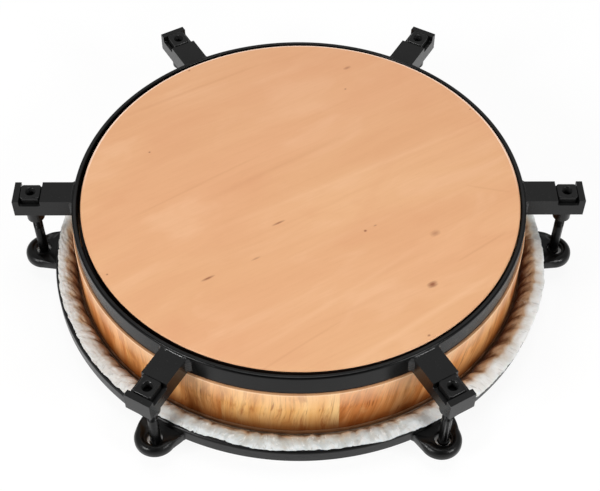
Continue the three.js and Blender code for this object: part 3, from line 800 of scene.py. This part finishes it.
def weld_shape():
    """Two upright fillets beside the arm and one along its top, on lug 1."""
    vs, fs, base = [], [], 0
    for side in (1, -1):
        y = side * ARM_W / 2
        x = math.sqrt(150.0 ** 2 - y ** 2)
        zs = np.linspace(ARM_LOW - 0.4, ARM_TOP + 0.1, 22)
        tangent = np.array([-y, x, 0]) / 150.0 * side
        pts = [(x - 0.02, y, z) for z in zs]
        v, f = weld_run(pts, [((1, 0, 0), tangent)] * len(zs), 2.7, "side", 3 + side)
        vs.append(v)
        fs += [tuple(k + base for k in face) for face in f]
        base += len(v)
    ys = np.linspace(-ARM_W / 2 - 0.4, ARM_W / 2 + 0.4, 26)
    pts = [(math.sqrt(150.0 ** 2 - y * y) - 0.02, y, ARM_TOP - 0.02) for y in ys]
    v, f = weld_run(pts, [((1, 0, 0), (0, 0, 1))] * len(ys), 1.15, "top", 9)
    vs.append(v)
    fs += [tuple(k + base for k in face) for face in f]
    return np.concatenate(vs), fs


weld_v, weld_f = weld_shape()
for n in range(1, LUGS + 1):
    ob = build(f"arm_weld_{n}", turned_about_z(weld_v, (n - 1) * 60), weld_f, BLACK_WELD, angle=60, weighted=False)
    ride(ob, "shell_body", "black_steel")


# ------------------------------------------------------------------ ears
def ear_shape(off, shift):
    """A cast eye: a shallow dish with a thick rounded lip round the bolt hole, and near straight flanks into the rim."""
    cx, cy = 177.0 + off[0], off[1]
    end_r = 13.4
    pts = []
    for a in np.linspace(-88, 88, 61):
        pts.append((cx + end_r * math.cos(math.radians(a)), cy + end_r * math.sin(math.radians(a))))
    outline = [tuple(p) for p in pts]
    for side in (1, -1):
        x0, y0 = pts[-1] if side > 0 else pts[0]
        y1 = side * 14.7 + off[1] * 0.6
        run = [(x0 + (169.4 - x0) * q, y0 + (y1 - y0) * q) for q in np.linspace(0, 1, 9)[1:]]
        run += [(168.7, y1 + side * 0.1), (168.1, y1 + side * 0.3), (167.5, y1 + side * 0.6), (166.9, y1 + side * 0.7)]
        if side > 0:
            outline += run + [(166.6, y) for y in np.linspace(run[-1][1] - 0.6, -15.6 + off[1] * 0.6, 25)]
        else:
            outline += run[::-1]
    outline = np.array(outline)
    n = len(outline)
    hole = np.array([BOLT_CIRCLE + shift[0], shift[1]])
    d = outline - hole
    dist = np.linalg.norm(d, axis=1)
    u = d / dist[:, None]
    free = smoothstep(166.9, 167.6, outline[:, 0])  # 1 on the open edge, 0 where the rim is
    end = smoothstep(172.5, 179.5, outline[:, 0])  # 1 round the end, 0 along the flanks
    low, floor_z = 14.2, 20.0
    crest_z = 21.2 + 0.25 * end
    wide, drop = 0.9 + 3.1 * end, 0.8 + 3.6 * end
    hole_r, seat_r, seat_z = 5.15, 8.9, 17.3
    one = np.ones(n)
    rows = []

    def row(radius, z):
        rows.append(np.column_stack([hole + u * np.asarray(radius)[:, None], np.broadcast_to(z, n)]))

    row(one * (hole_r + 0.25), one * seat_z)
    row(one * hole_r, one * (seat_z + 0.25))
    row(one * hole_r, one * (floor_z - 0.55))
    row(one * (hole_r + 0.18), one * (floor_z - 0.16))
    row(one * (hole_r + 0.6), one * floor_z)
    start = hole_r + 1.0
    crest = dist - wide * free
    for q in np.linspace(0.0, 1.0, 13):
        t_ = q * q * (3 - 2 * q)
        row(start * (1 - q) + crest * q, floor_z + 0.02 + (crest_z - floor_z - 0.02) * t_)
    for q in np.linspace(0, 1, 10)[1:]:
        a = q * math.pi / 2
        row(crest + (dist - crest) * math.sin(a), crest_z - drop * free * (1 - math.cos(a)))
    row(dist, one * (low + 1.0))
    for q in (0.33, 0.66, 1.0):
        a = q * math.pi / 2
        row(dist - 0.9 * free * (1 - math.cos(a)), one * (low + 1.0 - 1.0 * math.sin(a)))
    row((dist + seat_r) / 2, one * low)
    row(one * (seat_r + 0.4), one * low)
    row(one * (seat_r + 0.1), one * (low + 0.12))
    row(one * seat_r, one * (low + 0.4))
    row(one * seat_r, one * (seat_z - 0.3))
    row(one * (seat_r - 0.3), one * seat_z)
    v = np.stack(rows, 1)
    return v.reshape(-1, 3), [tuple(f) for f in grid_faces(n, len(rows), True, True)]


# castings differ: offset of the round end, and of the hole, from the bolt
EAR_OFF = {1: (-0.1, -1.5), 4: (0.4, 0.3), 5: (-1.3, -2.2), 6: (-0.3, -1.0)}
EAR_SHIFT = {1: (0.5, -0.8), 4: (0.4, -0.9), 5: (-0.5, -1.3), 6: (0.0, -0.7)}
for n in range(1, LUGS + 1):
    v, f = ear_shape(EAR_OFF.get(n, (0, 0)), EAR_SHIFT.get(n, (0, 0)))
    ob = build(f"ear_{n}_detail", turned_about_z(v, (n - 1) * 60), f, BLACK_CAST, angle=60, weighted=False)
    ride(ob, "rim_body", "black_steel", f"ear_{n}")


# ------------------------------------------------------------------ rawhide
def pleats(th, seed, widths, spread):
    """Irregular pleats round the drum: position in the pleat from 0 to 1, and a random height for it."""
    rng = np.random.default_rng(seed)
    w = []
    while sum(w) < 2 * math.pi * 160:
        w.append(rng.uniform(*widths))
    w = np.array(w) / sum(w) * 2 * math.pi
    edges = np.concatenate([[0], np.cumsum(w)])
    height = rng.uniform(1 - spread, 1 + spread, len(w))
    x = np.mod(th, 2 * math.pi)
    k = np.clip(np.searchsorted(edges, x, side="right") - 1, 0, len(w) - 1)
    return (x - edges[k]) / w[k], height[k]


# the fold's visible side as (radius, height) from the crevice by the shell to the cut edge: on a pleat's crest, and in a valley
CREST = [(152.95, 21.7), (153.05, 22.3), (153.3, 23.2), (153.7, 24.3), (154.1, 25.5), (154.8, 26.6), (155.8, 27.8), (157.2, 28.9), (158.9, 29.5),
         (160.6, 29.6), (162.3, 29.3), (163.8, 28.8), (165.0, 28.2), (166.1, 27.6), (166.9, 27.0)]
VALLEY = [(153.1, 21.2), (153.4, 21.4), (154.1, 21.9), (154.8, 22.7), (155.3, 23.8), (155.8, 25.0), (156.6, 26.2), (157.6, 27.2), (158.9, 27.9),
          (160.5, 28.7), (162.2, 28.85), (163.8, 28.5), (165.0, 28.0), (166.1, 27.45), (166.85, 26.85)]


def along(points, t):
    p = np.array(points, float)
    k = np.concatenate([[0], np.cumsum(np.linalg.norm(np.diff(np.array(CREST), axis=0), axis=1))])
    k /= k[-1]
    return np.stack([np.interp(t, k, p[:, 0]), np.interp(t, k, p[:, 1])], -1)


def hide():
    m = 1323
    th = np.arange(m) * 2 * math.pi / m
    ply = [(151.45, 10.0), (151.45, 16.0), (151.45, 21.0), (151.45, 24.0), (151.52, 24.5), (151.70, 24.75), (151.98, 24.6),
           (152.40, 23.9), (152.72, 23.0), (152.80, 22.2), (152.85, 21.6)]
    t_vis = np.linspace(0, 1, 36)
    edge = [(167.0, 26.75), (166.9, 26.4), (166.5, 26.15), (166.0, 26.1)]
    under = [(165.4, 26.1), (164.4, 26.0), (163.4, 26.2)]
    inner = [(160 + 4.15 * math.cos(math.radians(a)), 23.3 + 4.15 * math.sin(math.radians(a))) for a in np.linspace(44, 182, 9)]
    collar = [(155.3, 21.0), (154.2, 18.2), (153.6, 15.6), (153.5, 9.5), (153.4, 5.4), (152.9, 3.3), (151.9, 1.75), (150.4, 0.7), (148.0, 0.1)]
    n0, n1 = len(ply), len(ply) + len(t_vis)
    n2, n3 = n1 + len(edge), n1 + len(edge) + len(under)
    n = n3 + len(inner) + len(collar)
    run = np.concatenate([np.full(n0, 0.50), t_vis, np.full(len(edge), 1.0), np.full(len(under), 1.0), np.full(n - n3, 0.75)])
    T, RUN = np.meshgrid(th, run, indexing="ij")
    # pleats lean and wander a little on their way out
    warp = (0.024 * ring_noise(T, 31, 5) - 0.072 * np.cos(T)) * (RUN - 0.3) + 0.010 * ring_noise2(T, RUN, 90, 3, 6)
    u, height = pleats(T + warp, 11, (8.0, 15.0), 0.30)
    skew = u ** (1.0 + 0.35 * ring_noise(T, 9, 7))
    big = 0.22 + 0.78 * np.sin(np.pi * np.clip(skew, 0, 1)) ** 0.9 * np.clip(0.85 * height, 0.4, 1.15)
    u2, height2 = pleats(T + warp * 1.7 + 0.01, 12, (3.0, 6.4), 0.6)
    small = (1 - np.abs(2 * u2 - 1) ** 1.8) * height2 - 0.6
    fine = ring_noise(T + warp + 0.004 * ring_noise2(T, RUN, 120, 4, 8), 900, 13)
    soft = ring_noise2(T, RUN, 150, 5, 14)
    h = np.clip(big + 0.10 * small, 0.0, 1.2)
    crest, valley = along(CREST, t_vis), along(VALLEY, t_vis)
    R, Z = np.zeros((m, n)), np.zeros((m, n))
    fixed = np.array(ply + [(0, 0)] * len(t_vis) + edge + under + inner + collar)
    R[:], Z[:] = fixed[:, 0], fixed[:, 1]
    hv = h[:, n0:n1]
    # out on the flat band the big pleats fade and fine creases take over
    R[:, n0:n1] = valley[:, 0] * (1 - hv) + crest[:, 0] * hv
    Z[:, n0:n1] = valley[:, 1] * (1 - hv) + crest[:, 1] * hv
    tv = t_vis[None, :]
    sm, fi, so = small[:, n0:n1], fine[:, n0:n1], soft[:, n0:n1]
    crinkle = (ring_noise2(T + warp, RUN, 380, 12, 15) + 0.6 * ring_noise2(T + warp * 2, RUN, 640, 18, 16))[:, n0:n1]
    relief = 0.26 * sm * np.interp(tv, [0, 0.25, 0.5, 0.7, 1], [0.3, 1.0, 1.0, 0.7, 0.7]) + fi * np.interp(tv, [0, 0.4, 0.7, 1.0], [0.04, 0.08, 0.10, 0.12]) \
        + 0.30 * so * np.interp(tv, [0, 0.3, 1], [0, 1, 1]) + 0.30 * crinkle * np.interp(tv, [0.35, 0.6, 1], [0, 1, 1])
    mid = along([((a[0] + b[0]) / 2, (a[1] + b[1]) / 2) for a, b in zip(CREST, VALLEY)], t_vis)
    tangent = np.gradient(mid, axis=0)
    tangent /= np.linalg.norm(tangent, axis=1)[:, None]
    R[:, n0:n1] += -tangent[:, 1] * relief
    Z[:, n0:n1] += tangent[:, 0] * relief
    # in front the crevice by the shell gapes a little wider
    gape = 0.95 * np.exp(-(((th - math.radians(270)) / math.radians(30)) ** 4))[:, None] * (1 - smoothstep(0.30, 0.62, t_vis))[None, :]
    R[:, n0:n1] += gape
    Z[:, n0:n1] -= 0.5 * gape
    # never nearer to the hoop than its wire and the hide's own thickness
    dx, dz = R[:, n0:n1] - 160.0, Z[:, n0:n1] - 23.3
    ln = np.hypot(dx, dz)
    k = np.where(ln < 4.65, 4.65 / ln, 1.0)
    R[:, n0:n1], Z[:, n0:n1] = 160.0 + dx * k, 23.3 + dz * k
    # the cut edge wanders, is nicked here and there, and stands further out on one side
    wander = 0.45 * ring_noise(T, 70, 21) + 0.28 * ring_noise(T, 260, 22) + 0.16 * ring_noise(T, 800, 23)
    rng = np.random.default_rng(24)
    nick = np.zeros_like(th)
    for _ in range(46):
        c, w_, s_ = rng.uniform(0, 2 * math.pi), rng.uniform(0.0020, 0.0080), rng.uniform(0.5, 1.9)
        dd = np.abs((th - c + math.pi) % (2 * math.pi) - math.pi)
        bitten = 0.25 + 0.75 * math.exp(-(((c - math.radians(195) + math.pi) % (2 * math.pi) - math.pi) / math.radians(50)) ** 4)
        nick = np.maximum(nick, s_ * bitten * smoothstep(w_, w_ * 0.35, dd))
    side = (th + math.radians(35.5) + math.pi) % (2 * math.pi) - math.pi
    proud = 3.1 * np.exp(-(side / math.radians(37)) ** 4)
    left = (th - math.radians(205) + math.pi) % (2 * math.pi) - math.pi
    proud = proud - 0.6 * np.exp(-(left / math.radians(24)) ** 4)
    out = 1.25 * wander + (proud - nick)[:, None]
    reach = np.zeros(n)
    reach[n0:n1] = smoothstep(0.80, 1.0, t_vis)
    reach[n1:n2] = 1.0
    reach[n2:n3] = [0.8, 0.4, 0.1]
    R = R + out * reach
    # the inner ply's edge by the shell is uneven too
    rows = np.array([0, 0, 0, 0.6, 1, 1, 1, 0.8, 0.4, 0, 0])
    Z[:, :n0] += rows * (0.35 * ring_noise(T, 60, 41) + 0.2 * ring_noise(T, 200, 42))[:, :n0]
    lift = 0.25 * ring_noise(T, 110, 31) * np.clip(reach, 0, 1)
    Z = Z + np.maximum(lift, -0.12)
    v = np.stack([R * np.cos(T), R * np.sin(T), Z], -1)
    faces = [tuple(f) for f in grid_faces(m, n, True, False)]
    pleat = np.full((m, n), 0.5)
    pleat[:, n0:n1] = np.clip(hv, 0, 1)
    return th, v, faces, RUN, (T + warp) / (2 * math.pi), pleat, n, n0


def hide_mesh():
    th, v, faces, run, along, pleat, n, plies = hide()
    m = len(th)
    verts = [v.reshape(-1, 3)]
    runs, ths, pl = [run.ravel()], [along.ravel()], [pleat.ravel()]
    face_attr = np.zeros(n)
    face_attr[-9:] = [0.0, 0.15, 0.35, 0.6, 0.8, 0.95, 1, 1, 1]
    face = [np.tile(face_attr, m)]
    ply_attr = np.zeros(n)
    ply_attr[:plies] = 1.0
    ply_attr[plies - 2:plies] = [0.7, 0.3]
    count = m * n

    # the playing face and its inner side: coarser rings towards the middle, joined to the fine collar ring
    def disc(outer_index, radii, heights):
        nonlocal count, faces
        last = [i * n + outer_index for i in range(m)]
        step = 1
        for r, z in zip(radii, heights):
            new_step = step * 3 if m % (step * 3) == 0 and r < 150 and step < 12 else step
            k = m // new_step
            a = np.arange(k) * 2 * math.pi / k
            ids = list(range(count, count + k))
            verts.append(np.column_stack([r * np.cos(a), r * np.sin(a), np.full(k, z)]))
            runs.append(np.full(k, 0.6)); ths.append(a / (2 * math.pi)); pl.append(np.full(k, 0.6)); face.append(np.ones(k))
            count += k
            ratio = len(last) // k
            for i in range(k):
                inner_a, inner_b = ids[i], ids[(i + 1) % k]
                outer = [last[(i * ratio + q) % len(last)] for q in range(ratio + 1)]
                faces.append(tuple([inner_a] + outer + [inner_b]))
            last, step = ids, new_step
        return last

    low = disc(n - 1, [146.0, 143.0, 120.0, 80.0, 40.0], [0.0, 0.0, 0.0, 0.0, 0.0])
    faces.append(tuple(low))
    high = disc(0, [150.6, 149.0, 146.6, 143.0, 120.0, 80.0, 40.0], [5.0, 2.35, 1.95, 1.9, 1.9, 1.9, 1.9])
    faces.append(tuple(high))
    ply = np.concatenate([np.tile(ply_attr, m), np.zeros(count - m * n)])
    return np.concatenate(verts), faces, np.concatenate(runs), np.concatenate(ths), np.concatenate(pl), np.concatenate(face), ply


import bmesh

hv, hf, h_run, h_th, h_pl, h_face, h_ply = hide_mesh()
skin = build("drum_skin_detail", hv, hf, RAWHIDE, {"run": h_run, "th": h_th, "pleat": h_pl, "face": h_face, "ply": h_ply}, angle=180, weighted=False)
bm = bmesh.new()
bm.from_mesh(skin.data)
bmesh.ops.recalc_face_normals(bm, faces=bm.faces)
bm.to_mesh(skin.data)
bm.free()
skin.data.polygons.foreach_set("use_smooth", np.ones(len(skin.data.polygons), bool))
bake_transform(skin)
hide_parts("drum_skin")

# ------------------------------------------------------------------ floor and light
floor_t = Tree("floor_white")
floor_noise = floor_t.noise(floor_t.coords(), 3.0, 2.0, 0.5)
floor_t.set(Base_Color=floor_t.ramp(floor_noise, [(0.3, (0.11, 0.11, 0.11)), (0.7, (0.13, 0.13, 0.13))]), Roughness=0.9)
floor_t.shader.inputs["Specular IOR Level"].default_value = 0.0
floor_t.shader.inputs["Emission Color"].default_value = (1, 1, 1, 1)
floor_t.shader.inputs["Emission Strength"].default_value = 0.885
me = bpy.data.meshes.new("floor")
me.from_pydata([(-6, -6, 0), (6, -6, 0), (6, 6, 0), (-6, 6, 0)], [], [(0, 1, 2, 3)])
floor = bpy.data.objects.new("floor", me)
me.materials.append(floor_t.mat)
bpy.context.scene.collection.objects.link(floor)

world = bpy.data.worlds.new("studio")
bpy.context.scene.world = world
world.use_nodes = True
wn, wl = world.node_tree.nodes, world.node_tree.links
w_co, w_dot, w_ramp = wn.new("ShaderNodeTexCoord"), wn.new("ShaderNodeVectorMath"), wn.new("ShaderNodeValToRGB")
w_dot.operation = "DOT_PRODUCT"
w_dot.inputs[1].default_value = (0.0, -0.643, 0.766)
wl.new(w_co.outputs["Generated"], w_dot.inputs[0])
wl.new(w_dot.outputs["Value"], w_ramp.inputs["Fac"])
w_el = w_ramp.color_ramp.elements
w_el[0].position, w_el[0].color = 0.0, (0.43, 0.43, 0.43, 1)
w_el[1].position, w_el[1].color = 1.0, (0.03, 0.03, 0.03, 1)
for at, c in ((0.17, 0.60), (0.42, 0.44), (0.62, 0.42), (0.90, 0.04)):
    e = w_el.new(at)
    e.color = (c, c, c, 1)
wl.new(w_ramp.outputs["Color"], wn["Background"].inputs["Color"])
wn["Background"].inputs["Strength"].default_value = 1.0


def softbox(name, at, towards, size, watts):
    data = bpy.data.lights.new(name, "AREA")
    data.shape, data.size, data.size_y, data.energy = "RECTANGLE", size[0], size[1], watts
    ob = bpy.data.objects.new(name, data)
    at, towards = Vector(at), Vector(towards)
    ob.location = at
    ob.rotation_mode = "QUATERNION"
    ob.rotation_quaternion = (towards - at).to_track_quat("-Z", "Y")
    bpy.context.scene.collection.objects.link(ob)


softbox("key", (-1.45, -1.2, 1.2), (0, 0, 0.05), (0.6, 0.6), 24)
softbox("fill", (1.45, -1.15, 1.2), (0, 0, 0.05), (0.55, 0.55), 17)
softbox("top", (0.0, 0.0, 2.2), (0, 0, 0.05), (1.0, 1.0), 14)

scene = bpy.context.scene
scene.view_settings.view_transform = "Standard"
scene.view_settings.look = "None"
scene.view_settings.exposure = 0.0
scene.view_settings.gamma = 1.0
scene.cycles.use_denoising = True
